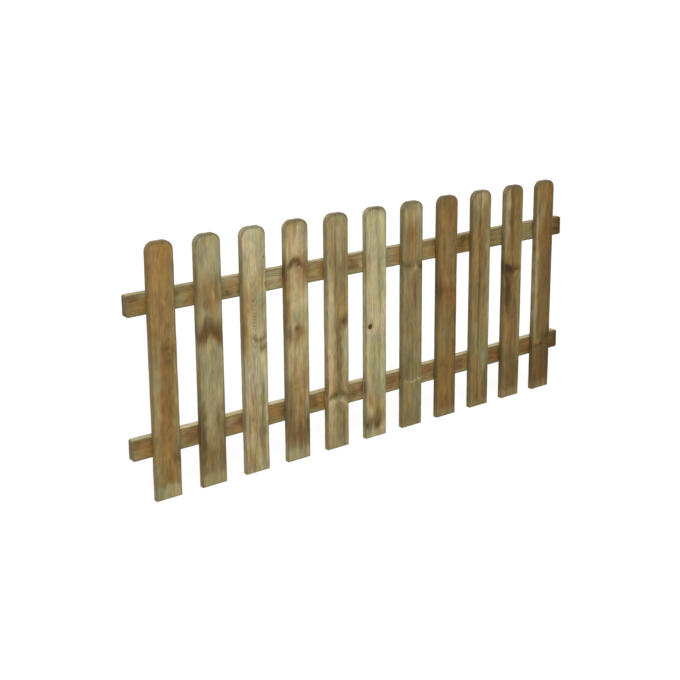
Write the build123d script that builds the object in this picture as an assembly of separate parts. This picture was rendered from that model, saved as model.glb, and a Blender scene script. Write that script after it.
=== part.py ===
"""Garden fence panel in planed softwood: round-headed pickets fixed to the front of two level rails.

The rails run on past the outer pickets, and these tails lie against the front of the fence posts.
Origin: middle of the lower rail's back face. +X runs along the panel, to the right as seen from the front.
+Y points to the back, away from the pickets. +Z is up. All sizes are in millimetres.
"""

from build123d import *
import os

# Driving dimensions of the rails
RAIL_LENGTH = 1800.0
RAIL_HEIGHT = 68.0
RAIL_THICKNESS = 28.0
RAIL_SPACING = 445.0  # centre of the lower rail to centre of the upper rail
RAIL_TAIL = 62.0  # rail left bare beyond an outer picket, to lie on a post
RAIL_END_RADIUS = 8.0  # corners of a rail's end, seen from the front
RAIL_ARRIS_RADIUS = 4.0  # softened long edges of a rail

# Driving dimensions of the pickets
PICKET_COUNT = 11
PICKET_WIDTH = 88.0
PICKET_THICKNESS = 20.0
PICKET_LENGTH = 800.0  # foot to the top of the head
PICKET_FOOT = 136.0  # foot of a picket to the underside of the lower rail
HEAD_CORNER_RADIUS = 30.0  # shoulders of the rounded head
PICKET_ARRIS_RADIUS = 3.0  # softened edges up the sides and round the head

# Places worked out from those sizes
RAIL_BACK_Y = 0.0
RAIL_FRONT_Y = RAIL_BACK_Y - RAIL_THICKNESS
PICKET_FRONT_Y = RAIL_FRONT_Y - PICKET_THICKNESS
LOWER_RAIL_Z = 0.0
UPPER_RAIL_Z = LOWER_RAIL_Z + RAIL_SPACING
FOOT_Z = LOWER_RAIL_Z - RAIL_HEIGHT / 2 - PICKET_FOOT
FIRST_PICKET_X = -RAIL_LENGTH / 2 + RAIL_TAIL + PICKET_WIDTH / 2
PICKET_PITCH = -2 * FIRST_PICKET_X / (PICKET_COUNT - 1)


def upright_board(outline, front_y, thickness):
    """A board that reaches back from front_y. Its outline is drawn with X along the panel and Y upwards."""
    return extrude(Plane.XZ.offset(-front_y) * outline, -thickness)


def soften(board, front_y, back_y, radius, kept_sharp=()):
    """Rounds the edges of a board's front and back faces, apart from those listed as kept sharp."""
    edges = board.edges().filter_by_position(Axis.Y, front_y, front_y)
    edges += board.edges().filter_by_position(Axis.Y, back_y, back_y)
    return fillet([edge for edge in edges if edge not in kept_sharp], radius)


def picket_outline():
    """A picket seen from the front: square foot, straight sides, and a level top with round shoulders."""
    board = Rectangle(PICKET_WIDTH, PICKET_LENGTH, align=(Align.CENTER, Align.MIN))
    head_corners = board.vertices().group_by(Axis.Y)[-1]
    return fillet(head_corners, HEAD_CORNER_RADIUS)


def make_picket():
    """One picket, its foot at Z = 0 and its middle at X = 0. The saw cut at the foot stays sharp."""
    board = upright_board(picket_outline(), PICKET_FRONT_Y, PICKET_THICKNESS)
    foot_edges = board.edges().filter_by_position(Axis.Z, 0, 0)
    return soften(board, PICKET_FRONT_Y, RAIL_FRONT_Y, PICKET_ARRIS_RADIUS, foot_edges)


def make_rail():
    """One rail, centred on X = 0 and Z = 0: a planed bar with softened long edges and rounded ends."""
    middle_y = (RAIL_FRONT_Y + RAIL_BACK_Y) / 2
    section = Plane.YZ * Pos(middle_y, 0) * RectangleRounded(RAIL_THICKNESS, RAIL_HEIGHT, RAIL_ARRIS_RADIUS)
    bar = extrude(section, RAIL_LENGTH / 2, both=True)
    outline = RectangleRounded(RAIL_LENGTH, RAIL_HEIGHT, RAIL_END_RADIUS)
    return bar & upright_board(outline, RAIL_FRONT_Y, RAIL_THICKNESS)


def build_panel():
    """Every piece of the panel, by name."""
    rail = make_rail()
    pieces = {
        "lower_rail": Pos(0, 0, LOWER_RAIL_Z) * rail,
        "upper_rail": Pos(0, 0, UPPER_RAIL_Z) * rail,
    }
    picket = make_picket()
    for number in range(PICKET_COUNT):
        place = Pos(FIRST_PICKET_X + number * PICKET_PITCH, 0, FOOT_Z)
        pieces[f"picket_{number + 1:02d}"] = place * picket
    return pieces


os.makedirs("parts", exist_ok=True)
for name, piece in build_panel().items():
    export_step(piece, f"parts/{name}.step")
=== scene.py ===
import math

import bpy
import numpy as np
from bpy.props import FloatProperty, FloatVectorProperty, IntProperty, PointerProperty
from mathutils import Matrix, Vector


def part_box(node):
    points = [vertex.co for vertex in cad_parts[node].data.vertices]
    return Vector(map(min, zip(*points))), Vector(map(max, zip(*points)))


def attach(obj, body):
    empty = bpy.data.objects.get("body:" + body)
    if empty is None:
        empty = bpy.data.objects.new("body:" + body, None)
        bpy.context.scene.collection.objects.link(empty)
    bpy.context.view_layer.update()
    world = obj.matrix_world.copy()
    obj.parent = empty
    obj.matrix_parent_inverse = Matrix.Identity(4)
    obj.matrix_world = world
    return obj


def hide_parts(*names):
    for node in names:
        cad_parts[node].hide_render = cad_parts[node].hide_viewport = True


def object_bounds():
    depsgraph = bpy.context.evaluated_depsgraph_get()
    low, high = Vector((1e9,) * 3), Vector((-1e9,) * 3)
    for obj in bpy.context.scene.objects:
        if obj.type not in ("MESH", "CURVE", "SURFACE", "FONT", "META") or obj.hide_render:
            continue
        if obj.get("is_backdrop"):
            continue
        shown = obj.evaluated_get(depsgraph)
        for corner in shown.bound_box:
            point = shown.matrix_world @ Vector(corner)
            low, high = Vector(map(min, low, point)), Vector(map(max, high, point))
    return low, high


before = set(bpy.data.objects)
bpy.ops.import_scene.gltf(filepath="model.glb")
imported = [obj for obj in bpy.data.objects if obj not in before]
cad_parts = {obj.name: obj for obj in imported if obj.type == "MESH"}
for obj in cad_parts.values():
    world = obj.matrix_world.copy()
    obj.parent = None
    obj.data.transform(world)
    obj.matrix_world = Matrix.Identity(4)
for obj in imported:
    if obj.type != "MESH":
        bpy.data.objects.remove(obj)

bl_info = {
    "name": "Garden Fence Panel",
    "version": (1, 0, 0),
    "blender": (4, 5, 0),
    "location": "3D View > Sidebar > Fence Panel",
    "description": "Round-headed picket panel in treated softwood, with rails, screws and stage",
    "category": "Object",
}

MM = 0.001
ROOT = "root"
WHITE = (1, 1, 1, 1)
PICKETS = [f"picket_{number:02d}" for number in range(1, 12)]
RAILS = ["lower_rail", "upper_rail"]
TINTS = ["straw", "moss", "honey", "umber", "russet"]
STAINS = [*TINTS, "shade"]
# Shares of the five tints in bleached wood. The rails' mix also paints a sheen of light on a rail's top.
BLEACHED_FOOT = np.array([0.45, 0.80, 0.05, 0.10, 0.02]) / 1.4
BLEACHED_AND_SHEEN_RAIL = np.array([0.85, 0.75, 0.10, 0.06, 0.0]) / 1.7

# Each board is described in its own millimetres. For a picket, across runs from its middle to the right and
# along runs from the foot up. For a rail, across runs from its middle up and along from its left end.
#
# base: how much of each stain the whole board has, in the order of STAINS. The last, shade, takes away that
# share of the light instead of adding a colour.
# foot: height of the bleached band at a picket's foot, and how strong it is. A rail has no height: there the
# second number is how strongly its top is made pale, part bleaching and part painted sheen.
# figure: how plain the rings show. pith: the heart of the tree, across and behind the front face.
# spacing: one growth ring. taper: how fast the rings climb along the board.
# steps: (along, half length, height), where the rings climb faster.
# knots: (across, along, radius, length over width, slant, how hard its outline is).
# straw to shade: marks of that stain (across, along, half width, half length, strength), the highest along
# first. A sixth number bends a mark into an arch.
# Shade marks along a picket's long edges, near ±42 across, are painted shade on its side faces.
BOARDS = {
    "picket_01": dict(
        base=(0.05, 0.14, 1, 0.3, 0.05, 0), foot=(42, 0.85), figure=0.6, pith=(14, 46), spacing=3.6,
        taper=0.012, steps=[(470, 60, 9)],
        knots=[(8, 474, 6, 1, 0, 0.25), (30, 479, 6, 0.7, 0.3, 0.45), (36, 122, 8, 1.7, 0, 0.15)],
        straw=[(0, 760, 44, 60, 0.1)],
        moss=[(-4, 560, 14, 50, 1), (-26, 400, 20, 90, 1), (34, 320, 7, 190, 1.6), (-32, 310, 10, 130, 1.8),
              (-40, 70, 8, 60, 2), (40, 60, 8, 30, 2)],
        honey=[(-10, 740, 30, 60, 0.8)],
        umber=[(5, 560, 40, 60, 0.6), (10, 456, 28, 30, 2.6), (22, 300, 9, 110, 1.2), (30, 126, 10, 34, 2.6)],
        russet=[(8, 440, 16, 60, 1.2), (1, 310, 11, 120, 1.8), (10, 75, 18, 30, 0.6)],
        shade=[(-42, 600, 5, 230, 0.12), (0, 200, 60, 90, 0.06), (30, 124, 9, 24, 0.22)],
    ),
    "picket_02": dict(
        base=(0.42, 1, 0.12, 0.06, 0.01, 0.1), foot=(38, 0.7), figure=0.35, pith=(-4, 33), spacing=3.4,
        taper=0.014, steps=[(505, 70, 22), (235, 90, 8)], knots=[(0, 540, 4.5, 1.2, 0, 0.35)],
        straw=[(12, 606, 5, 15, 4)], moss=[(2, 390, 34, 80, 1.2)],
        honey=[(0, 630, 48, 40, 1.6), (10, 606, 18, 34, 3.6), (10, 110, 30, 90, 1.4)],
        umber=[(36, 660, 12, 30, 1.4), (4, 616, 50, 40, 2.6), (-42, 600, 7, 80, 2), (30, 600, 12, 20, 2.5),
               (-14, 580, 12, 12, 2.2), (-2, 505, 46, 23, 10, 0.014), (41, 170, 6, 90, 4),
               (-40, 150, 11, 120, 7), (26, 130, 14, 90, 3.6), (-2, 86, 44, 42, 2.2)],
        russet=[(-6, 489, 34, 11, 4.5, 0.016), (-42, 190, 6, 44, 5)],
        shade=[(2, 536, 14, 9, 0.22), (-2, 501, 44, 19, 0.32, 0.014), (-42, 140, 9, 110, 0.3),
               (43, 130, 5, 90, 0.25)],
    ),
    "picket_03": dict(
        base=(1, 0.46, 0.08, 0.03, 0, 0.03), foot=(26, 0.3), figure=0.9, pith=(-8, 28), spacing=3.4,
        taper=-0.008, steps=[(495, 105, -30)], knots=[(41, 616, 5, 1.2, 0, 0.6), (36, 700, 2.5, 1.2, 0, 0.7)],
        moss=[(-44, 690, 8, 90, 2), (24, 520, 16, 120, 1), (17, 112, 9, 50, 3)],
        honey=[(-2, 560, 26, 60, 1.2), (-34, 510, 16, 120, 3.4), (-14, 150, 26, 130, 1.4)],
        umber=[(-43, 640, 6, 40, 2), (36, 640, 10, 40, 1.4), (-43, 470, 9, 90, 3.6),
               (16, 436, 24, 9, 3.6, -0.016), (28, 410, 14, 12, 2.6), (24, 235, 6, 70, 2.2),
               (-6, 180, 30, 90, 0.7), (17, 112, 8, 48, 5)],
        russet=[(-24, 50, 12, 26, 1.2)],
        shade=[(0, 580, 60, 80, 0.05), (-43, 470, 6, 70, 0.2), (28, 412, 12, 9, 0.26),
               (17, 110, 7, 40, 0.12)],
    ),
    "picket_04": dict(
        base=(0.86, 0.36, 0.3, 0.05, 0.03, 0.05), foot=(36, 0.6), figure=0.45, pith=(0, 36), spacing=3.8,
        taper=0.014, steps=[(655, 45, 12), (200, 110, 10)],
        knots=[(2, 654, 7, 0.9, 0.2, 0.6), (-26, 654, 5, 0.7, 0.6, 0.4), (-1, 446, 6, 1, 0, 0.5)],
        straw=[(-4, 756, 44, 60, 1.6)], moss=[(6, 478, 22, 18, 5)],
        honey=[(-16, 768, 32, 34, 5), (30, 640, 20, 44, 7), (-37, 550, 9, 100, 5), (8, 426, 22, 28, 2.6),
               (4, 240, 42, 110, 2.4)],
        umber=[(-6, 790, 40, 10, 2.4), (26, 770, 14, 40, 1.8), (-4, 668, 44, 9, 12, 0.02),
               (36, 640, 14, 40, 4), (-44, 610, 7, 34, 9), (-42, 520, 6, 120, 4), (10, 432, 20, 22, 3),
               (-28, 424, 18, 26, 4.5), (-4, 210, 46, 90, 1.8), (-34, 190, 8, 90, 3.4),
               (2, 100, 50, 52, 6.5)],
        russet=[(-43, 208, 5, 40, 3), (4, 110, 14, 60, 3.6)],
        shade=[(-14, 670, 34, 6, 0.3, 0.024), (-44, 616, 7, 30, 0.25), (0, 560, 60, 70, 0.06),
               (-1, 446, 9, 9, 0.2), (38, 104, 9, 50, 0.4), (0, 96, 50, 48, 0.1), (-43, 84, 6, 40, 0.3)],
    ),
    "picket_05": dict(
        base=(0.4, 0.4, 0.74, 0.14, 0.02, 0.03), foot=(24, 0.3), figure=0.45, pith=(-5, 40), spacing=3.8,
        taper=0.01, steps=[(180, 30, 6)],
        knots=[(24, 438, 8, 1.1, 0.3, 0.35), (-34, 325, 3, 1, 0, 0.3), (-12, 186, 14, 0.3, 0.15, 0.1),
               (16, 183, 12, 0.3, -0.3, 0.1)],
        straw=[(-6, 740, 40, 50, 0.5), (-30, 390, 12, 150, 3), (28, 360, 9, 48, 5),
               (-10, 170, 44, 6, 4, 0.012), (-28, 100, 9, 70, 3)],
        moss=[(0, 794, 44, 14, 3), (27, 360, 10, 48, 5), (-2, 184, 44, 10, 5, 0.01), (2, 100, 8, 90, 3)],
        honey=[(2, 740, 44, 60, 0.9), (18, 480, 20, 70, 1.8), (-40, 194, 10, 12, 5)],
        umber=[(-8, 700, 4, 90, 3.6), (20, 680, 16, 110, 0.9), (-30, 640, 10, 26, 1.2),
               (-6, 600, 44, 40, 0.9), (22, 530, 18, 50, 1.2), (24, 440, 18, 22, 4), (4, 320, 13, 120, 3.6),
               (-2, 192, 44, 8, 5, 0.01), (16, 80, 12, 80, 2)],
        russet=[(-24, 420, 10, 60, 0.5)],
        shade=[(-4, 796, 30, 10, 0.2), (24, 440, 12, 14, 0.16), (-2, 188, 44, 7, 0.18, 0.01),
               (0, 150, 60, 130, 0.09)],
    ),
    "picket_06": dict(
        base=(1.15, 0.86, 0, 0, 0.02, 0.09), foot=(24, 0.4), figure=0.3, pith=(8, 52), spacing=4.2,
        taper=0.012, steps=[(110, 70, 8)],
        knots=[(-26, 396, 9, 1, 0, 1), (-2, 40, 5, 1.2, 0.5, 0.5), (-38, 48, 5, 1, 0.3, 0.5),
               (-14, 52, 4, 1, -0.4, 0.4)],
        straw=[(6, 440, 40, 60, 0.8), (-22, 86, 6, 20, 6), (24, 30, 14, 14, 4, 0.01)],
        moss=[(18, 520, 22, 60, 1.2), (22, 280, 18, 140, 1), (-6, 250, 9, 80, 3), (4, 190, 40, 50, 1.6)],
        honey=[(-40, 620, 9, 34, 3), (-14, 110, 20, 42, 4)],
        umber=[(0, 796, 40, 12, 1.2), (13, 600, 4, 30, 2), (15, 492, 5, 18, 2), (-6, 262, 6, 70, 0.9),
               (-38, 180, 9, 30, 2), (-24, 136, 16, 26, 2.6), (30, 70, 10, 34, 1.6),
               (-2, 62, 24, 32, 7, 0.01), (-34, 50, 14, 18, 5)],
        shade=[(0, 798, 44, 9, 0.15), (0, 200, 60, 90, 0.09), (-4, 50, 20, 20, 0.3), (-38, 48, 7, 8, 0.25)],
    ),
    "picket_07": dict(
        base=(0.12, 0.9, 0.26, 0.5, 0.03, 0.1), foot=(14, 0.3), figure=0.4, pith=(-10, 44), spacing=3.5,
        taper=0.01, steps=[(575, 26, 6), (158, 24, -5)],
        knots=[(-20, 580, 16, 0.34, -0.15, 0.35), (34, 571, 10, 0.8, 0.2, 0.5)],
        straw=[(6, 750, 44, 30, 1.2), (10, 572, 6, 9, 7), (32, 168, 12, 4, 2.4, 0.01),
               (4, 162, 40, 3, 1.8, -0.006)],
        moss=[(-18, 784, 22, 14, 3), (0, 580, 48, 10, 4, 0.002), (14, 330, 20, 130, 1.2)],
        honey=[(-6, 670, 18, 70, 3.6), (-39, 610, 8, 16, 7), (-30, 158, 14, 6, 5), (-26, 100, 14, 50, 1.8)],
        umber=[(-4, 670, 16, 64, 2.6), (0, 584, 48, 10, 4, 0.002), (42, 540, 6, 60, 2.2),
               (-10, 350, 16, 70, 0.8), (0, 200, 46, 34, 1.4)],
        russet=[(10, 500, 9, 58, 3.6), (-34, 180, 10, 16, 2.4)],
        shade=[(-20, 786, 24, 12, 0.15), (0, 580, 48, 8, 0.16, 0.002), (34, 571, 14, 9, 0.25),
               (0, 150, 60, 150, 0.06)],
    ),
    "picket_08": dict(
        base=(0.04, 0.14, 0.76, 0.86, 0.16, 0.13), foot=(26, 0.34), figure=0.3, pith=(22, 60), spacing=3,
        taper=0.006, steps=[(490, 40, 9)], knots=[(-45, 486, 9, 0.8, 0, 0.2), (-40, 455, 8, 1.2, 0, 0.2)],
        moss=[(10, 626, 12, 50, 2.4), (20, 500, 26, 12, 1.4), (-10, 300, 30, 60, 0.7), (0, 30, 50, 24, 0.5)],
        honey=[(-16, 730, 20, 40, 1.2), (-30, 600, 14, 60, 1.2), (-14, 494, 30, 10, 0.8, 0.004),
               (0, 180, 30, 90, 1.2)],
        umber=[(-40, 468, 10, 36, 5), (0, 466, 46, 9, 2.6, 0.004), (40, 330, 8, 320, 2.4)],
        russet=[(20, 660, 16, 70, 1), (-12, 484, 34, 16, 1.4, 0.004), (-10, 440, 34, 26, 1.2),
                (-10, 50, 30, 22, 0.8)],
        shade=[(-42, 466, 9, 26, 0.25), (42, 330, 6, 330, 0.15), (0, 220, 60, 110, 0.13),
               (-29, 198, 8, 14, 0.15), (0, 60, 60, 40, 0.05)],
    ),
    "picket_09": dict(
        base=(0.14, 0.5, 0.5, 0.66, 0.04, 0.12), foot=(22, 0.34), figure=0.6, pith=(-12, 38), spacing=3.3,
        taper=0.01, steps=[(170, 40, 9)],
        knots=[(-10, 762, 4, 1.2, 0, 0), (-12, 622, 4, 1, 0, 0), (18, 168, 5, 1.4, 0, 0.1)],
        straw=[(0, 774, 44, 26, 1.6), (40, 330, 6, 60, 1.8)],
        moss=[(24, 618, 9, 26, 4), (34, 430, 13, 330, 2.2), (20, 170, 12, 30, 4.5)],
        honey=[(-10, 628, 34, 30, 1.6), (-30, 520, 12, 160, 1.2), (-30, 190, 12, 16, 5),
               (-16, 130, 24, 30, 1.6)],
        umber=[(-10, 622, 14, 20, 2.4), (18, 540, 4, 130, 2.2), (-8, 480, 3.5, 320, 6), (34, 80, 12, 70, 2.6),
               (-8, 60, 4, 55, 5)],
        russet=[(-12, 764, 14, 18, 1.8), (4, 500, 5, 80, 1.4)],
        shade=[(0, 400, 60, 90, 0.09), (42, 90, 6, 90, 0.22), (10, 60, 50, 60, 0.1)],
    ),
    "picket_10": dict(
        base=(0.04, 0.32, 0.42, 0.94, 0.06, 0.1), foot=(28, 0.5), figure=0.5, pith=(-8, 34), spacing=3.2,
        taper=0.012, steps=[(500, 45, 14), (300, 80, 8)],
        knots=[(-26, 498, 19, 0.7, -0.42, 1), (15, 489, 14, 0.55, 0.1, 0.6)],
        straw=[(-34, 660, 9, 130, 1.8), (38, 500, 8, 40, 1.6), (-38, 470, 5, 14, 2.5)],
        moss=[(-34, 660, 10, 130, 3), (24, 474, 20, 16, 3), (34, 400, 13, 190, 3)],
        honey=[(18, 650, 16, 90, 1.6), (0, 560, 40, 46, 1.6), (0, 450, 12, 50, 3), (-20, 280, 16, 70, 1.2)],
        umber=[(-8, 690, 9, 120, 4), (0, 488, 46, 14, 4.5, 0.004), (-24, 430, 11, 60, 6, 0.01),
               (-26, 370, 8, 60, 2.6), (0, 120, 46, 80, 1.4)],
        russet=[(-7, 690, 8, 110, 2.6), (0, 310, 16, 60, 1.6)],
        shade=[(-20, 494, 26, 14, 0.25), (-26, 410, 11, 70, 0.3), (0, 390, 50, 100, 0.22),
               (0, 110, 50, 80, 0.1)],
    ),
    "picket_11": dict(
        base=(0, 0.18, 0.44, 1.06, 0.16, 0.11), foot=(26, 0.36), figure=0.35, pith=(16, 42), spacing=3.4,
        taper=0.01, steps=[(185, 30, 12)], knots=[(30, 204, 11, 1.2, 0.3, 0.45)],
        straw=[(-38, 420, 6, 200, 3)],
        moss=[(-10, 690, 9, 40, 2.4), (-36, 440, 9, 230, 3.4), (28, 208, 22, 30, 5)],
        honey=[(0, 760, 40, 40, 0.6), (-26, 188, 26, 7, 4, 0.01)],
        umber=[(30, 420, 10, 220, 2), (28, 204, 26, 34, 6), (0, 176, 48, 8, 5, 0.006), (0, 110, 48, 70, 3)],
        russet=[(8, 600, 14, 80, 1.6), (38, 236, 12, 14, 4), (2, 62, 20, 22, 2)],
        shade=[(40, 560, 8, 220, 0.12), (0, 220, 60, 90, 0.07), (29, 204, 21, 30, 0.46),
               (-6, 172, 40, 7, 0.2, 0.006), (0, 110, 50, 80, 0.14), (41, 110, 8, 100, 0.28),
               (-42, 90, 8, 90, 0.3), (0, 40, 60, 50, 0.08)],
    ),
    # On a rail, the umber, honey and russet marks at the right end of a gap, just left of a picket, are
    # painted shadow of that picket.
    "lower_rail": dict(
        base=(0.06, 0.12, 0.72, 0.5, 0.4, 0), foot=(0, 0.8), figure=0.8, pith=(10, 30), spacing=3.6,
        taper=0.004, steps=[(620, 60, 9), (1310, 80, -10)],
        knots=[(10, 368, 6, 1.2, 0, 0.1), (-14, 1160, 7, 1.2, 0, 0.1), (6, 1486, 5, 1, 0, 0.1)],
        straw=[(0, 1150, 40, 40, 0.3), (0, 990, 40, 40, 0.22), (0, 820, 40, 40, 0.22), (0, 350, 40, 40, 0.42),
               (0, 190, 40, 40, 0.18)],
        moss=[(-28, 900, 8, 900, 3), (28, 900, 7, 900, 1), (0, 168, 30, 10, 1.6), (-16, 16, 16, 18, 3)],
        honey=[(-4, 1332, 22, 10, 4), (8, 1012, 18, 10, 5), (-6, 694, 24, 14, 4), (4, 510, 24, 14, 3),
               (-4, 40, 16, 20, 3)],
        umber=[(0, 1785, 50, 40, 9), (0, 1620, 40, 30, 2), (0, 1490, 26, 10, 4), (0, 1296, 24, 12, 2.6),
               (-10, 1182, 22, 10, 3.2), (-4, 818, 24, 12, 3.2), (8, 658, 22, 12, 3), (0, 545, 26, 12, 3),
               (-16, 344, 18, 16, 1.2), (16, 14, 20, 12, 3)],
        russet=[(0, 1650, 20, 10, 2), (8, 1456, 26, 14, 2.6), (10, 1140, 20, 18, 3.4), (0, 980, 24, 14, 2.6),
                (4, 858, 22, 12, 2.8), (-6, 706, 18, 8, 2), (8, 374, 24, 20, 2.6), (4, 206, 24, 24, 2)],
        shade=[(0, 1802, 60, 12, 0.2), (0, 1790, 60, 42, 0.48), (0, 1620, 60, 50, 0.12),
               (20, 1470, 14, 34, 0.15), (0, 1460, 60, 50, 0.12), (14, 530, 10, 30, 0.12)],
    ),
    "upper_rail": dict(
        base=(0.1, 0.52, 0.76, 0.42, 0.03, 0), foot=(0, 0.35), figure=0.8, pith=(-12, 36), spacing=3.9,
        taper=-0.005, steps=[(480, 70, 10), (1200, 60, -9)],
        knots=[(-12, 338, 6, 1.2, 0, 0.3), (-6, 836, 5, 1, 0, 0), (10, 1306, 9, 1.1, 0, 0.35)],
        straw=[(0, 858, 26, 10, 2.4), (0, 508, 40, 30, 1.3), (6, 350, 40, 30, 0.8), (6, 182, 16, 10, 3)],
        moss=[(0, 1630, 32, 30, 3), (0, 1476, 32, 34, 4), (0, 972, 26, 12, 4.5), (-29, 900, 7, 900, 3),
              (0, 862, 26, 10, 4), (14, 660, 18, 10, 2.2), (0, 502, 26, 12, 4), (12, 330, 16, 14, 3),
              (4, 178, 32, 14, 6)],
        honey=[(-10, 1460, 16, 12, 3), (0, 1326, 26, 16, 6), (4, 1170, 26, 14, 5), (0, 1010, 26, 12, 6),
               (-6, 694, 26, 14, 8), (0, 640, 40, 30, 1.6), (-2, 548, 28, 14, 6), (4, 350, 24, 18, 3.6),
               (-12, 222, 24, 12, 6), (-10, 44, 16, 26, 5)],
        umber=[(0, 1785, 50, 42, 9), (10, 1655, 20, 10, 4), (0, 1440, 40, 24, 1), (8, 1306, 26, 24, 7),
               (6, 1176, 26, 14, 7), (-4, 816, 24, 12, 3.6), (-6, 700, 24, 12, 5), (0, 552, 28, 8, 4),
               (-8, 390, 18, 10, 2), (-14, 338, 14, 20, 3.4), (-10, 226, 26, 12, 5), (18, 182, 12, 12, 3),
               (-20, 50, 16, 24, 4), (14, 24, 16, 16, 3)],
        russet=[(-18, 1290, 12, 12, 3)],
        shade=[(0, 1802, 60, 12, 0.22), (0, 1790, 60, 42, 0.56), (0, 1616, 60, 46, 0.13),
               (0, 1458, 60, 46, 0.24), (10, 1306, 22, 16, 0.28), (8, 1186, 22, 8, 0.2),
               (-18, 338, 10, 12, 0.3), (-20, 196, 10, 9, 0.3), (6, 180, 50, 34, 0.16), (14, 164, 9, 7, 0.34),
               (-8, 8, 40, 10, 0.2)],
    ),
}


def colour_setting(name, description, default):
    """A colour that a user may change, as a screen shows it."""
    return FloatVectorProperty(
        name=name, description=description, subtype="COLOR_GAMMA", min=0, max=1, default=default)


def length_setting(name, description, default):
    """A length that a user may change, in metres."""
    return FloatProperty(name=name, description=description, unit="LENGTH", min=0, default=default)


class TimberSettings(bpy.types.PropertyGroup):
    """Colours and finish of the treated softwood."""

    straw: colour_setting("Straw", "Pale sapwood", (0.800, 0.755, 0.610))
    moss: colour_setting("Moss", "Sapwood turned grey-green by the preservative", (0.565, 0.550, 0.400))
    honey: colour_setting("Honey", "Orange-brown wood", (0.605, 0.468, 0.238))
    umber: colour_setting("Umber", "Dark brown wood", (0.380, 0.290, 0.140))
    russet: colour_setting("Russet", "Red-brown heartwood", (0.470, 0.292, 0.150))
    # Worn is part weathered grey and part painted shade on the edges and side faces.
    worn: colour_setting("Worn", "Dark, greyed wood on the edges", (0.370, 0.335, 0.240))
    knot: colour_setting("Knot", "Heart of a knot", (0.185, 0.140, 0.045))
    late_wood: FloatProperty(
        name="Late wood", description="How much darker the hard part of each ring is",
        subtype="FACTOR", min=0, max=1, default=0.58)
    raised_grain: length_setting("Raised grain", "Height of the grain", 0.0005)
    waviness: length_setting("Waviness", "How far a face wanders from flat", 0.00025)


class PicketSettings(bpy.types.PropertyGroup):
    """Shape of the pickets beyond their CAD boxes."""

    head_radius: length_setting("Head radius", "Radius of the head's shoulders", 0.030)
    arris: length_setting("Arris", "Radius of the softened edges", 0.003)
    columns: IntProperty(name="Columns", description="Faces across the front", min=8, default=48)
    rows: IntProperty(name="Rows", description="Faces up the straight part", min=8, default=210)
    pale_foot: FloatProperty(
        name="Pale foot", description="How strongly all the feet are bleached",
        subtype="FACTOR", min=0, max=1, default=1.0)


class RailSettings(bpy.types.PropertyGroup):
    """Shape of the rails beyond their CAD boxes."""

    end_radius: length_setting("End radius", "Radius of the corners at a rail's ends", 0.008)
    arris: length_setting("Arris", "Radius of the softened edges", 0.004)
    columns: IntProperty(name="Columns", description="Faces up the front", min=8, default=36)
    rows: IntProperty(name="Rows", description="Faces along the straight part", min=8, default=420)


class ScrewSettings(bpy.types.PropertyGroup):
    """Countersunk screws driven through the rails into the pickets."""

    head: length_setting("Head", "Diameter of the head", 0.0078)
    apart: length_setting("Apart", "Distance along the rail between a crossing's two screws", 0.032)
    proud: length_setting("Proud", "How far the head stands out of the rail", 0.0003)
    finish: colour_setting("Finish", "Yellow passivated zinc", (0.790, 0.700, 0.470))


class StageSettings(bpy.types.PropertyGroup):
    """Camera and light."""

    lens: FloatProperty(name="Lens", description="Focal length on a 36 mm sensor", default=61.18)
    shift: FloatProperty(name="Shift", description="Vertical shift of the frame", default=-0.16)
    sky: FloatProperty(name="Sky", description="Strength of the even light", default=0.62)
    key: FloatProperty(name="Key", description="Strength of the soft light in front", default=2.28)
    fill: FloatProperty(name="Fill", description="Strength of the softer light behind", default=1.2)


def quads(grid, flip=False):
    """The four corners of every cell of a grid of vertex numbers."""
    four = np.stack([grid[:-1, :-1], grid[:-1, 1:], grid[1:, 1:], grid[1:, :-1]], -1).reshape(-1, 4)
    return four[:, ::-1] if flip else four


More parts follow.
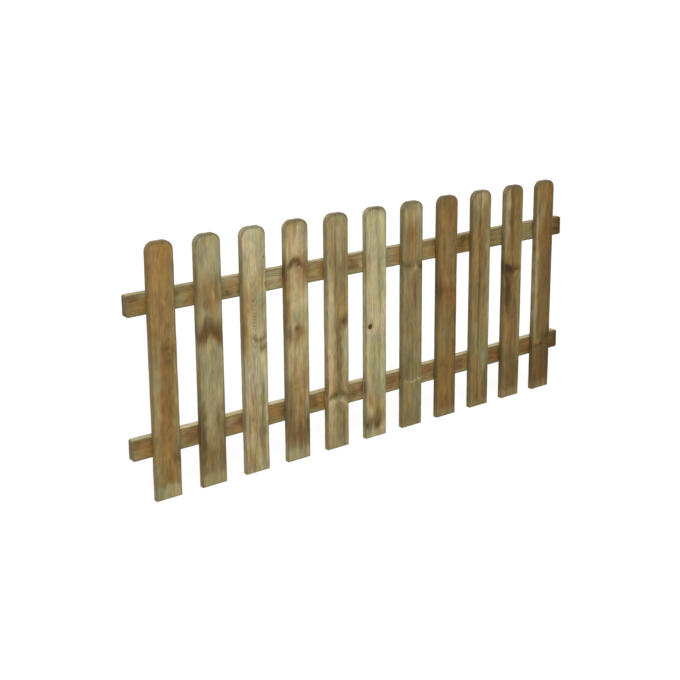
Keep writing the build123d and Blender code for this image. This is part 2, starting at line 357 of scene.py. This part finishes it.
def board_surface(length, width, thickness, corner, arris, columns, rows, round_foot, seed):
    """A board's closed skin, in millimetres, as arrays of one row per vertex.

    Seen from the front the outline is a rectangle with corners of radius r at the head, and at the foot too
    where it is rounded. At the angle a round a corner, the outline is r*cos(a) across and r*sin(a) along from
    the corner's centre, and its normal is (cos a, sin a). The front and back faces are grids that stop one
    arris short of the outline. Between them runs a band: from outline - normal*arris, a quarter circle out to
    the outline, the straight side, and a quarter circle back in.
    """
    rng = np.random.default_rng(seed)
    turn = np.linspace(0, np.pi / 2, 13)[1:]
    straight = np.linspace(corner if round_foot else 0, length - corner, rows + 1)
    angle = np.concatenate([np.zeros(rows + 1), turn])
    station = np.concatenate([straight, np.full(turn.size, length - corner)])
    if round_foot:
        angle = np.concatenate([-turn[::-1], angle])
        station = np.concatenate([np.full(turn.size, corner), station])
    # The outline's right side, row by row, and its normals.
    side_across = width / 2 - corner + corner * np.cos(angle)
    side_along = station + corner * np.sin(angle)
    side_out = np.stack([np.cos(angle), np.sin(angle)], 1)
    last = angle.size - 1
    share = np.linspace(-1, 1, columns + 1)
    inner = share[1:-1]
    level = inner * (width / 2 - corner)
    row = np.arange(last + 1)
    column = np.arange(1, columns)
    # Once round the outline: up the left side, over the head, down the right side, and back along a round
    # foot. Each part has its places across and along, its normals, and its rows and columns in the grid.
    up = np.tile([0.0, 1.0], (inner.size, 1))
    loop = [
        (-side_across, side_along, side_out * [-1, 1], row, 0 * row),
        (level, np.full(inner.size, length), up, 0 * column + last, column),
        (side_across[::-1], side_along[::-1], side_out[::-1], row[::-1], 0 * row + columns),
    ]
    if round_foot:
        loop.append((level[::-1], np.zeros(inner.size), -up, 0 * column, column[::-1]))
    across, along, out, edge_row, edge_column = (np.concatenate(part) for part in zip(*loop))
    edge = np.stack([across, along], 1)

    # Hand-worn edges: the arris swells and narrows a little round the outline, and stays even at a sawn foot.
    run = np.cumsum(np.r_[0, np.hypot(*np.diff(edge, axis=0).T)])
    worn = np.ones(run.size)
    for wave, size in ((310, 0.05), (122, 0.06), (47, 0.05), (23, 0.03)):
        worn += size * np.sin(run * 2 * np.pi / wave + rng.uniform(0, 2 * np.pi))
    if round_foot:
        ends = np.clip(np.minimum(along, length - along) / 12, 0, 1)
        worn = (1 + (worn - 1) * ends) * (0.5 + 0.5 * ends)
    arris = arris * worn
    inset = edge - out * arris[:, None]

    # The grid inside the loop: each row is stretched between its two ends, eased into the head and foot.
    left = inset[: last + 1]
    right = inset[last + columns :][: last + 1][::-1]
    mix = (share[None, :, None] + 1) / 2
    grid = left[:, None] * (1 - mix) + right[:, None] * mix
    grid[edge_row, edge_column] = inset

    # The band's samples: how far out, and how deep, each is.
    quarter = np.linspace(0, np.pi / 2, 6)
    side = np.linspace(0, 1, 5)[1:-1]
    flat = np.zeros(side.size)
    reach = np.concatenate([np.sin(quarter), flat + 1, np.cos(quarter)])
    round_deep = np.concatenate([1 - np.cos(quarter), flat + 1, 1 + np.sin(quarter)])
    side_deep = np.concatenate([0 * quarter, side, 0 * quarter + 1])
    tilt = np.concatenate([-np.cos(quarter), flat, np.sin(quarter)])
    steps = reach.size - 1
    band = edge[None] - out[None] * (arris * (1 - reach[:, None]))[..., None]
    deep = round_deep[:, None] * arris + side_deep[:, None] * (thickness - 2 * arris)
    band_tilt = np.tile(tilt[:, None, None], (1, len(out), 1))
    band_out = np.concatenate([out[None] * reach[:, None, None], band_tilt], 2)

    cells = grid.reshape(-1, 2)
    count = len(cells)
    points = [np.c_[cells, np.zeros(count)], np.c_[cells, np.full(count, thickness)]]
    points.append(np.concatenate([band, deep[..., None]], 2)[1:-1].reshape(-1, 3))
    facing = np.tile([0, 0, 1.0], (count, 1))
    normals = [-facing, facing, band_out[1:-1].reshape(-1, 3)]
    front = np.arange(count).reshape(last + 1, columns + 1)
    back = front + count
    ring = np.zeros((steps + 1, len(edge)), int)
    ring[0] = front[edge_row, edge_column]
    ring[-1] = back[edge_row, edge_column]
    ring[1:-1] = 2 * count + np.arange((steps - 1) * len(edge)).reshape(steps - 1, -1)
    if round_foot:
        ring = np.concatenate([ring, ring[:, :1]], 1)
    faces = [quads(front), quads(back, True), quads(ring)]
    if not round_foot:
        # The sawn foot: a grid between the front and back rows, as wide as the band at each depth.
        foot_deep = (deep[:, 0] + deep[:, -1])[1:-1] / 2
        half = band[1:-1, -1, 0]
        cap = np.zeros((steps + 1, columns + 1), int)
        cap[0], cap[-1], cap[:, 0], cap[:, -1] = front[0], back[0], ring[:, 0], ring[:, -1]
        start = 2 * count + (steps - 1) * len(edge)
        cap[1:-1, 1:-1] = start + np.arange((steps - 1) * inner.size).reshape(steps - 1, -1)
        flat_cap = np.stack(np.broadcast_arrays(inner * half[:, None], 0.0, foot_deep[:, None]), -1)
        points.append(flat_cap.reshape(-1, 3))
        normals.append(np.tile([0, -1.0, 0], (inner.size * (steps - 1), 1)))
        faces.append(quads(cap, True))
    points, normals = np.concatenate(points), np.concatenate(normals)

    # How far each point of the faces is from the outline, for the greyed edges.
    rim = np.zeros(len(points))
    to_side = side_across[:, None] - np.abs(grid[..., 0])
    to_head = length - grid[..., 1]
    to_foot = grid[..., 1] if round_foot else np.full_like(to_head, 99.0)
    rim[: 2 * count] = np.tile(np.minimum(np.minimum(to_side, to_head), to_foot).ravel(), 2)
    return points, normals, np.concatenate(faces), rim


def timber_field(name, points, normals, rim, length, foot_share, seed):
    """Growth rings, knots and stains of one board, each as a smooth function of the place in the wood.

    Round a knot of radius r the fibres part like water round a stone: a fibre at u across and v along from it
    runs where u*(1 - r²/(u² + v²)) would be without the knot. The rings are circles round the pith, which
    leans and sways along the board: ring number = (distance to the pith + taper*along + steps)/spacing, where
    a step is height*tanh((along - middle)/half length). A stain's strength is its base plus a bell
    exp(-p² - q²) for each mark, where p and q are the distances across and along over the mark's half sizes,
    after both are swayed by slow sines so that no border is a plain oval.
    """
    board = BOARDS[name]
    rng = np.random.default_rng(seed)
    across, along, deep = points.T
    knot_near = np.full(len(points), 4.0)
    parted = np.zeros(len(points))
    for x, z, radius, tall, slant, hard in board["knots"]:
        u = across - x
        v = (along - z - slant * u) / tall
        near = np.hypot(u, v) / radius
        stone = (1.25 * radius) ** 2
        stretch = u**2 + (v / 2.2) ** 2
        parted += u * stone / np.maximum(stretch, stone) * np.exp(-((near / 5.0) ** 2))
        knot_near = np.minimum(knot_near, near + 1.3 * (1 - hard))
    flow = across - parted
    lean = rng.uniform(-0.012, 0.012)
    sway = np.zeros(len(points))
    drift = np.zeros(len(points))
    for wave, size in ((620, 5.0), (270, 2.2), (110, 0.8)):
        sway += size * np.sin(along * 2 * np.pi / wave + rng.uniform(0, 2 * np.pi))
        drift += size * 0.7 * np.sin(along * 2 * np.pi / wave + rng.uniform(0, 2 * np.pi))
    pith_across, pith_deep = board["pith"]
    radius = np.hypot(flow - pith_across - lean * (along - length / 2) - sway, deep - pith_deep - drift)
    rings = radius + board["taper"] * along
    for middle, half, height in board["steps"]:
        rings = rings + height * np.tanh((along - middle) / half)
    rings = rings / board["spacing"]

    phase = rng.uniform(0, 2 * np.pi, 5)
    stray = 0.6 * np.sin(along / 17 + across / 9 + phase[0])
    stray += 0.4 * np.sin(along / 7.3 - across / 6 + phase[1])
    creep = 0.6 * np.sin(across / 8.5 + along / 31 + phase[2])
    creep += 0.4 * np.sin(across / 4.1 - along / 15 + phase[3])
    # On its way through the board a mark climbs and fades, so the back isn't the front's mirror image.
    through = deep / deep.max()
    climb = 45 * through
    left_over = 1 - 0.5 * through
    stain = np.tile(np.array(board["base"], float), (len(points), 1))
    for number, tint in enumerate(STAINS):
        for x, z, wide, long, strength, *bend in board.get(tint, ()):
            arch = sum(bend) * (across - x) ** 2
            p = (flow - x + stray * min(4.5, wide * 0.45)) / wide
            q = (along - z - climb + arch + creep * min(13.0, long * 0.5)) / long
            stain[:, number] += strength * left_over * np.exp(-(p**2) - q**2)
    stain, shade = stain[:, :5], stain[:, 5]
    total = stain.sum(1, keepdims=True)
    height, bleach = board["foot"]
    end = normals[:, 1] ** 2
    on_band = 1 - np.abs(normals[:, 2])
    if height:
        damp = bleach * foot_share / (1 + np.exp((along - height * (1 + 0.2 * creep)) / 2.6))
        stain += damp[:, None] * (BLEACHED_FOOT * total - stain)
        head = np.clip((along - length + 36) / 20, 0, 1)
    else:
        # A rail's sawn ends are bleached by rain and sun. Its top is made pale too, part bleaching and part
        # painted sheen of the light on it.
        bleached_and_sheen_top = np.clip(normals[:, 0] * 1.6 - 0.5, 0, 1) * bleach
        sawn = np.clip(np.abs(normals[:, 1]) * 1.6 - 0.5, 0, 1) * 0.35
        stain += np.maximum(bleached_and_sheen_top, sawn)[:, None] * (BLEACHED_AND_SHEEN_RAIL * total - stain)
        head = 0.0
    # Greyed edges, wider and darker at a head: part weathering and part painted shade on the arris and sides.
    rubbed_and_shaded_rim = np.exp(-((np.maximum(rim - 3, 0) / (2.2 + 2.6 * head)) ** 2)) * (0.6 + 0.4 * head)
    worn = np.where(rim > 0, rubbed_and_shaded_rim, 0.85 - 0.5 * np.clip(on_band * 4 - 3, 0, 1) * (1 - end))
    if height:
        # The foot's sawn edge is dark, and the wood above it is darker towards the foot.
        worn = np.maximum(worn, 0.8 * np.exp(-((along / 2.5) ** 2)))
        shade = shade + 0.11 * np.exp(-np.maximum(along, 0) / 80)
    else:
        # The pale top, part painted sheen, loses its greyed edge.
        worn = worn * (1 - 0.9 * bleached_and_sheen_top)
    shade = np.clip(shade, 0, 0.6)
    return {
        "grain": np.stack([rings, knot_near, end], 1),
        "place": np.stack([flow, deep, along], 1) * MM + rng.uniform(1, 9, 3),
        "stain": stain[:, :3],
        "tone": np.concatenate([stain[:, 3:], worn[:, None]], 1),
        "cast": np.stack([shade, 0 * shade + board["figure"], 0 * shade], 1),
    }


def waves(points, seed, size):
    """Gentle unevenness in millimetres: a sum of eight sine waves of the place, long along the board."""
    rng = np.random.default_rng(seed)
    total = np.zeros(len(points))
    for _ in range(8):
        pace = rng.normal(size=3) * [0.07, 0.018, 0.09]
        total += np.sin(points @ pace + rng.uniform(0, 2 * np.pi))
    return total * size / 3


def make_mesh_object(name, points, faces, material, sharp, fields=()):
    """A finished object at the origin: smooth, but for edges where faces turn by over sharp degrees."""
    mesh = bpy.data.meshes.new(name)
    mesh.from_pydata(points, [], faces)
    for field, values in dict(fields).items():
        layer = mesh.attributes.new(field, "FLOAT_VECTOR", "POINT")
        layer.data.foreach_set("vector", values.astype(np.float32).ravel())
    mesh.shade_smooth()
    mesh.set_sharp_from_angle(angle=math.radians(sharp))
    mesh.materials.append(material)
    mesh.validate()
    made = bpy.data.objects.new(name, mesh)
    bpy.context.scene.collection.objects.link(made)
    return made


def add_board(node, settings, corner, upright, foot_share, seed):
    """Builds one board in its CAD node's box and lets it stand for that node."""
    timber = bpy.context.scene.fence_timber
    low, high = (np.array(corner_of) / MM for corner_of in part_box(node))
    middle = (low + high) / 2
    wide, thick, tall = high - low
    length, width = (tall, wide) if upright else (wide, tall)
    points, normals, faces, rim = board_surface(
        length, width, thick, corner / MM, settings.arris / MM, settings.columns, settings.rows,
        not upright, seed)
    fields = timber_field(node, points, normals, rim, length, foot_share, seed + 100)
    # A face swells at a knot, a picket's foot stays even, and the whole skin lies a little under the CAD's.
    swell, under = 0.25, 0.2
    lift = waves(points, seed + 200, timber.waviness / MM)
    lift += np.exp(-((fields["grain"][:, 1] / 1.4) ** 2)) * swell
    lift *= np.clip((points[:, 1] - 0.5) / 6, 0, 1) if upright else 1
    across, along, deep = (points + normals * (lift - under)[:, None]).T
    if upright:
        placed = np.stack([across + middle[0], deep + low[1], along + low[2]], 1)
    else:
        placed = np.stack([along + low[0], deep + low[1], across + middle[2]], 1)
        faces = faces[:, ::-1]
    board = make_mesh_object(f"{node}_board", placed * MM, faces, softwood(), 50, fields)
    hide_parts(node)
    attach(board, ROOT)


class Wiring:
    """Builds a node tree in few words: each call adds a node and returns one of its outputs."""

    def __init__(self, tree):
        self.tree = tree
        tree.nodes.clear()

    def add(self, kind, inputs=(), out=0, **settings):
        """A node of that kind. inputs gives values or other nodes' outputs, by position or by name."""
        node = self.tree.nodes.new(kind)
        for key, value in settings.items():
            setattr(node, key, value)
        for key, value in inputs.items() if isinstance(inputs, dict) else enumerate(inputs):
            if isinstance(value, bpy.types.NodeSocket):
                self.tree.links.new(value, node.inputs[key])
            else:
                node.inputs[key].default_value = value
        return node.outputs[out]

    def math(self, operation, *values):
        return self.add("ShaderNodeMath", values, operation=operation)

    def vector(self, operation, *values):
        return self.add("ShaderNodeVectorMath", values, operation=operation)

    def scale(self, vector, factor):
        return self.add("ShaderNodeVectorMath", {0: vector, "Scale": factor}, operation="SCALE")

    def split(self, vector):
        return self.add("ShaderNodeSeparateXYZ", [vector]).node.outputs

    def noise(self, place, scale, detail=2.0, roughness=0.5, shift=(0, 0, 0)):
        """Noise whose blobs are 1/scale metres long across, deep and along."""
        given = {"Vector": self.vector("MULTIPLY_ADD", place, scale, shift), "Scale": 1.0}
        return self.add("ShaderNodeTexNoise", {**given, "Detail": detail, "Roughness": roughness})

    def ramp(self, value, start, end, low=0.0, high=1.0):
        """Eases from low to high while value goes from start to end."""
        given = {"Value": value, "From Min": start, "From Max": end, "To Min": low, "To Max": high}
        return self.add("ShaderNodeMapRange", given, interpolation_type="SMOOTHSTEP")

    def mix(self, share, first, second):
        return self.add("ShaderNodeMix", {0: share, 6: first, 7: second}, out=2, data_type="RGBA")

    def shown(self):
        """1 for a ray from the camera, also past a gloss or through glass, and otherwise 0."""
        rays = self.add("ShaderNodeLightPath").node.outputs
        turned = self.math("MAXIMUM", rays["Is Glossy Ray"], rays["Is Transmission Ray"])
        return self.math("MAXIMUM", rays["Is Camera Ray"], turned)

    def finish(self, shader, output="ShaderNodeOutputMaterial"):
        """Joins a shader to the tree's output."""
        self.tree.links.new(shader, self.tree.nodes.new(output).inputs["Surface"])


def new_material(name):
    """An empty material, and the wiring of its nodes."""
    material = bpy.data.materials.new(name)
    material.use_nodes = True
    return material, Wiring(material.node_tree)


def linear(colour):
    """A display colour as linear light, with alpha, by the sRGB curve."""
    value = np.array(colour, float)
    light = np.where(value <= 0.04045, value / 12.92, ((value + 0.055) / 1.055) ** 2.4)
    return (*light, 1.0)


def softwood():
    """Treated softwood: the boards' fields give its rings, knots and stains, and nodes add the fibres."""
    name = "treated_softwood"
    if name in bpy.data.materials:
        return bpy.data.materials[name]
    timber = bpy.context.scene.fence_timber
    material, w = new_material(name)
    grain, place, stain, tone, cast = (
        w.add("ShaderNodeAttribute", attribute_name=key, out="Vector")
        for key in ("grain", "place", "stain", "tone", "cast"))
    rings, knot, end = w.split(grain)
    *shares, worn = (*w.split(stain), *w.split(tone))
    shade, figure = w.split(cast)[:2]

    fibre = w.noise(place, (900, 900, 13), 3.0, 0.6)
    hair = w.noise(place, (2600, 2600, 60), 2.0, 0.6, (5, 3, 1))
    cloud = w.noise(place, (38, 38, 3.2), 2.0, 0.5, (2, 7, 4))
    speck = w.noise(place, (420, 420, 160), 2.0, 0.6, (8, 1, 6))

    # Stains: every share is multiplied by 2 to the power of a streaky noise, then they are blended.
    total, blend = None, None
    for number, (share, tint) in enumerate(zip(shares, TINTS)):
        streak = w.noise(place, (75, 75, 4.5), 3.0, 0.62, (number * 3.1, number * 1.7, number * 2.3))
        power = w.math("MULTIPLY_ADD", streak, 7.0, -3.5)
        part = w.math("MULTIPLY", share, w.math("POWER", 2.0, power))
        colour = w.scale(linear(getattr(timber, tint))[:3], part)
        total = part if total is None else w.math("ADD", total, part)
        blend = colour if blend is None else w.vector("ADD", blend, colour)
    wood = w.scale(blend, w.math("DIVIDE", 1.0, total))

    # Mottling: patches of two sizes are darker or lighter, and from one tint to another.
    mottle = w.noise(place, (34, 34, 11), 4.0, 0.62, (4, 9, 2))
    blotch = w.noise(place, (75, 75, 34), 3.0, 0.6, (7, 2, 3))
    green = w.noise(place, (22, 22, 6), 2.0, 0.5, (6, 5, 9))
    dry = w.noise(place, (45, 45, 20), 2.0, 0.5, (1, 6, 8))
    for patch, dark, pale, tint, first, second in (
            (mottle, 0.84, 1.13, green, (0.95, 1.02, 1.03, 1), (1.05, 0.98, 0.94, 1)),
            (blotch, 0.88, 1.10, dry, (1.0, 1.0, 1.08, 1), (1.01, 1.0, 0.86, 1))):
        wood = w.scale(wood, w.ramp(patch, 0.28, 0.72, dark, pale))
        wood = w.vector("MULTIPLY", wood, w.mix(w.ramp(tint, 0.32, 0.68), first, second))
    # Shade takes away more of the blue light than of the red.
    wood = w.vector("MULTIPLY", wood, w.vector("MULTIPLY_ADD", shade, (-0.9, -1.03, -1.5), (1, 1, 1)))

    # Rings: a slow rise through the early wood and a short dark late wood, each ring with its own strength.
    phase = w.math("MULTIPLY_ADD", cloud, 0.7, rings)
    phase = w.math("MULTIPLY_ADD", fibre, 0.16, phase)
    part_of_ring = w.math("FRACT", phase)
    rise = w.ramp(part_of_ring, 0.25, 0.88)
    fall = w.ramp(part_of_ring, 0.90, 1.0, 1.0, 0.0)
    strength = w.add("ShaderNodeTexWhiteNoise", {"W": w.math("FLOOR", phase)}, noise_dimensions="1D")
    late = w.math("MULTIPLY", w.math("MULTIPLY", rise, fall), w.math("MULTIPLY_ADD", strength, 0.65, 0.35))
    late_share = w.math("MULTIPLY", w.math("MULTIPLY", late, timber.late_wood), figure)
    wood = w.mix(late_share, wood, w.vector("MULTIPLY", wood, (0.52, 0.42, 0.33)))
    light = w.math("ADD", w.ramp(fibre, 0.25, 0.75, 0.80, 1.15), w.ramp(hair, 0.2, 0.8, -0.08, 0.08))
    wood = w.scale(wood, light)

    # Knots: a halo of darker wood, a dark rim, and close rings inside.
    wavy = w.math("MULTIPLY_ADD", speck, 0.30, w.math("SUBTRACT", knot, 0.15))
    halo = w.ramp(wavy, 1.0, 2.4, 0.62, 0.0)
    wood = w.mix(halo, wood, w.vector("MULTIPLY", wood, (0.52, 0.43, 0.25)))
    inside = w.ramp(wavy, 0.80, 1.12, 1.0, 0.0)
    turns = w.math("SINE", w.math("MULTIPLY", wavy, 21.0))
    heart = w.scale(linear(timber.knot)[:3], w.math("MULTIPLY_ADD", turns, 0.28, 1.15))
    wood = w.mix(w.math("MULTIPLY", inside, 0.92), wood, heart)

    # Drying checks and resin flecks: short thin dark dashes along the grain.
    dash = w.noise(place, (620, 620, 34), 2.0, 0.5, (3, 8, 5))
    wood = w.scale(wood, w.ramp(dash, 0.66, 0.74, 1.0, 0.62))

    # Greyed edges (part weathering, part painted shade), the darker, more even end grain, and specks of dirt.
    grey = w.math("MULTIPLY", worn, w.ramp(blotch, 0.25, 0.75, 0.88, 0.52))
    wood = w.mix(grey, wood, linear(timber.worn))
    pores = w.noise(place, (1500, 1500, 1500), 1.0, 0.5)
    sawn = w.scale(wood, w.ramp(pores, 0.3, 0.7, 0.62, 0.86))
    wood = w.mix(w.math("MULTIPLY", end, 0.9), wood, sawn)
    dirt = w.ramp(speck, 0.70, 0.80, 0.0, 0.35)
    wood = w.mix(dirt, wood, w.scale(wood, 0.55))

    rough = w.math("ADD", w.ramp(fibre, 0.2, 0.8, 0.62, 0.78), w.math("MULTIPLY", late, -0.10))
    height = w.math("MULTIPLY_ADD", late, 0.45, w.math("MULTIPLY", fibre, 0.55))
    height = w.math("MULTIPLY_ADD", hair, 0.30, height)
    height = w.math("MULTIPLY_ADD", turns, w.math("MULTIPLY", inside, 0.15), height)
    bump = w.add("ShaderNodeBump", {"Strength": 0.8, "Distance": timber.raised_grain, "Height": height})
    w.finish(w.add("ShaderNodeBsdfPrincipled", {
        "Base Color": wood, "Roughness": rough, "Normal": bump, "Specular IOR Level": 0.2}))
    return material


def screw_metal():
    """Yellow passivated zinc: a brushed metal, dulled and stained here and there."""
    material, w = new_material("screw_zinc")
    place = w.add("ShaderNodeTexCoord", out="Object")
    patches = w.noise(place, (500, 500, 500), 3.0, 0.6)
    fine = w.noise(place, (3000, 3000, 9000), 2.0, 0.5)
    colour = linear(bpy.context.scene.fence_screws.finish)
    dulled = (colour[0] * 0.62, colour[1] * 0.52, colour[2] * 0.42, 1)
    metal = w.mix(w.ramp(patches, 0.45, 0.65), colour, dulled)
    rough = w.math("ADD", w.ramp(patches, 0.3, 0.7, 0.28, 0.50), w.ramp(fine, 0.3, 0.7, -0.05, 0.05))
    bump = w.add("ShaderNodeBump", {"Strength": 0.3, "Distance": 0.0001, "Height": fine})
    w.finish(w.add("ShaderNodeBsdfPrincipled", {
        "Base Color": metal, "Roughness": rough, "Normal": bump, "Metallic": 0.9}))
    return material


def screw_heads(centres, head, proud):
    """Every screw head on the rails' backs, in metres, as one closed skin each.

    A head is a surface of revolution on a polar grid: from the middle of its face out to the rim, over a
    rounded rim and down the countersink's cone into the wood. The cross recess sinks the face by depth times
    a smooth wall where the point is inside either arm of the cross, so where min(|x|, |z|) is under the arm's
    half width.
    """
    spokes = 48
    radius = head / 2
    across = np.array([0.08, 0.16, 0.24, 0.32, 0.40, 0.50, 0.62, 0.78, 0.92, 0.985, 1.0, 0.985, 0.55])
    deep = np.array([0, 0, 0, 0, 0, 0, 0, 0, 0.02, 0.10, 0.22, 0.34, 1.0]) * 0.9
    recess, middle_deep, tip_deep, arm_half, arm_long = 0.42, 0.45, 0.95, 0.115, 0.60
    angle = np.linspace(0, 2 * np.pi, spokes, endpoint=False)
    x = across[:, None] * np.cos(angle)
    z = across[:, None] * np.sin(angle)
    arm = np.minimum(np.abs(x), np.abs(z)) / arm_half
    wall = np.clip((1.35 - arm) / 0.5, 0, 1) * np.clip((arm_long - across[:, None]) / 0.09, 0, 1)
    rings = np.stack([x, -deep[:, None] - wall * recess, z], -1).reshape(-1, 3)
    one = np.concatenate([rings, [[0, -middle_deep, 0], [0, -tip_deep, 0]]]) * radius + [0, proud, 0]
    grid = np.arange(len(rings)).reshape(-1, spokes)
    grid = np.concatenate([grid, grid[:, :1]], 1)
    middle = np.full(spokes, len(rings))
    near = np.stack([grid[0, :-1], middle, grid[0, 1:]], 1)
    far = np.stack([grid[-1, :-1], grid[-1, 1:], middle + 1], 1)
    shift = np.arange(len(centres))[:, None, None] * len(one)
    points = (centres[:, None] + one).reshape(-1, 3)
    faces = []
    for part in (quads(grid), near, far):
        faces += (part + shift).reshape(-1, part.shape[1]).tolist()
    return points, faces


class FENCE_OT_pickets(bpy.types.Operator):
    """Build the eleven round-headed pickets"""

    bl_idname = "fence_panel.pickets"
    bl_label = "Pickets"

    def execute(self, context):
        settings = context.scene.fence_pickets
        for seed, node in enumerate(PICKETS, 31):
            add_board(node, settings, settings.head_radius, True, settings.pale_foot, seed)
        return {"FINISHED"}


class FENCE_OT_rails(bpy.types.Operator):
    """Build the two level rails"""

    bl_idname = "fence_panel.rails"
    bl_label = "Rails"

    def execute(self, context):
        settings = context.scene.fence_rails
        for seed, node in enumerate(RAILS, 61):
            add_board(node, settings, settings.end_radius, False, 0, seed)
        return {"FINISHED"}


class FENCE_OT_screws(bpy.types.Operator):
    """Drive two screws through a rail into each picket"""

    bl_idname = "fence_panel.screws"
    bl_label = "Screws"

    def execute(self, context):
        settings = context.scene.fence_screws
        rng = np.random.default_rng(7)
        slant, stray = 0.8, 0.0012
        centres = []
        for rail in RAILS:
            rail_low, rail_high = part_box(rail)
            for picket in PICKETS:
                low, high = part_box(picket)
                middle = np.array([(low[0] + high[0]) / 2, rail_high[1], (rail_low[2] + rail_high[2]) / 2])
                for sign in (-1, 1):
                    slip = rng.normal(scale=stray, size=2)
                    reach = sign * settings.apart / 2
                    centres.append(middle + [reach + slip[0], 0, reach * slant + slip[1]])
        points, faces = screw_heads(np.array(centres), settings.head, settings.proud)
        screws = make_mesh_object("screws", points, faces, screw_metal(), 40)
        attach(screws, ROOT)
        return {"FINISHED"}


class FENCE_OT_stage(bpy.types.Operator):
    """Set up the camera, the white floor and the soft light"""

    bl_idname = "fence_panel.stage"
    bl_label = "Stage"

    def execute(self, context):
        scene = context.scene
        settings = scene.fence_stage
        scene.view_settings.view_transform = "Standard"
        self.add_camera(scene, settings)

        # The floor lies at the pickets' feet, and reaches so far that its edge doesn't show.
        low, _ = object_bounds()
        reach = 300
        corners = [(x * reach, y * reach, low[2]) for x, y in ((-1, -1), (1, -1), (1, 1), (-1, 1))]
        floor = make_mesh_object("floor", corners, [(0, 1, 2, 3)], self.floor_material(), 40)
        floor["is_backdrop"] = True

        world = bpy.data.worlds.new("studio")
        world.use_nodes = True
        scene.world = world
        w = Wiring(world.node_tree)
        strength = w.math("MULTIPLY_ADD", w.shown(), 1.0 - settings.sky, settings.sky)
        sky = w.add("ShaderNodeBackground", {"Color": WHITE, "Strength": strength})
        w.finish(sky, "ShaderNodeOutputWorld")

        # Each lamp's strength, its width as seen from the panel in degrees, and the direction to it.
        for name, energy, width, where in (("key", settings.key, 40, (-0.30, -0.60, 0.74)),
                                           ("fill", settings.fill, 80, (0.30, 0.75, 0.58))):
            lamp_data = bpy.data.lights.new(name, "SUN")
            lamp_data.energy = energy
            lamp_data.angle = math.radians(width)
            lamp = bpy.data.objects.new(name, lamp_data)
            lamp.rotation_mode = "QUATERNION"
            lamp.rotation_quaternion = Vector(where).to_track_quat("Z", "Y")
            scene.collection.objects.link(lamp)
        return {"FINISHED"}

    def add_camera(self, scene, settings):
        """Camera at standing height, in front of the panel and to its left."""
        place = (-2.2972, -2.9644, 1.3793)
        yaw, pitch, roll = 0.6351, 0.2199, -0.0069
        camera_data = bpy.data.cameras.new("camera")
        camera_data.sensor_width = 36
        camera_data.lens = settings.lens
        camera_data.shift_y = settings.shift
        camera = bpy.data.objects.new("camera", camera_data)
        ahead, level = math.cos(pitch), np.array([math.cos(yaw), -math.sin(yaw), 0])
        forward = np.array([math.sin(yaw) * ahead, math.cos(yaw) * ahead, -math.sin(pitch)])
        upright = np.cross(level, forward)
        right = level * math.cos(roll) + upright * math.sin(roll)
        up = upright * math.cos(roll) - level * math.sin(roll)
        matrix = Matrix((right, up, -forward)).transposed().to_4x4()
        matrix.translation = place
        camera.matrix_world = matrix
        scene.collection.objects.link(camera)
        scene.camera = camera

    def floor_material(self):
        """White floor: grey for the light it gives back, and for the camera white with the panel's shadow."""
        grey_given, grey_shown = 0.45, 0.12
        material, w = new_material("white_floor")
        shown = w.shown()
        grey = w.math("MULTIPLY_ADD", shown, grey_shown - grey_given, grey_given)
        matt = w.add("ShaderNodeBsdfDiffuse", {"Color": grey})
        glow = w.math("MULTIPLY", shown, 1 - grey_shown)
        white = w.add("ShaderNodeEmission", {"Color": WHITE, "Strength": glow})
        w.finish(w.add("ShaderNodeAddShader", (matt, white)))
        return material


class FENCE_PT_panel(bpy.types.Panel):
    """Lists the fence panel's pieces in the sidebar"""

    bl_label = "Fence Panel"
    bl_idname = "FENCE_PT_panel"
    bl_space_type = "VIEW_3D"
    bl_region_type = "UI"
    bl_category = "Fence Panel"

    def draw(self, context):
        for operator in OPERATORS:
            self.layout.operator(operator.bl_idname)
        for name, group in SETTINGS.items():
            box = self.layout.box()
            for key in group.__annotations__:
                box.prop(getattr(context.scene, name), key)


SETTINGS = {
    "fence_timber": TimberSettings,
    "fence_pickets": PicketSettings,
    "fence_rails": RailSettings,
    "fence_screws": ScrewSettings,
    "fence_stage": StageSettings,
}
OPERATORS = (FENCE_OT_pickets, FENCE_OT_rails, FENCE_OT_screws, FENCE_OT_stage)
CLASSES = (*SETTINGS.values(), *OPERATORS, FENCE_PT_panel)


def register():
    for cls in CLASSES:
        bpy.utils.register_class(cls)
    for name, group in SETTINGS.items():
        setattr(bpy.types.Scene, name, PointerProperty(type=group))


def unregister():
    for name in SETTINGS:
        delattr(bpy.types.Scene, name)
    for cls in reversed(CLASSES):
        bpy.utils.unregister_class(cls)


def main():
    """Dresses the panel."""
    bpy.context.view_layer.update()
    register()
    bpy.ops.fence_panel.rails()
    bpy.ops.fence_panel.pickets()
    bpy.ops.fence_panel.screws()
    bpy.ops.fence_panel.stage()


if __name__ == "__main__":
    main()
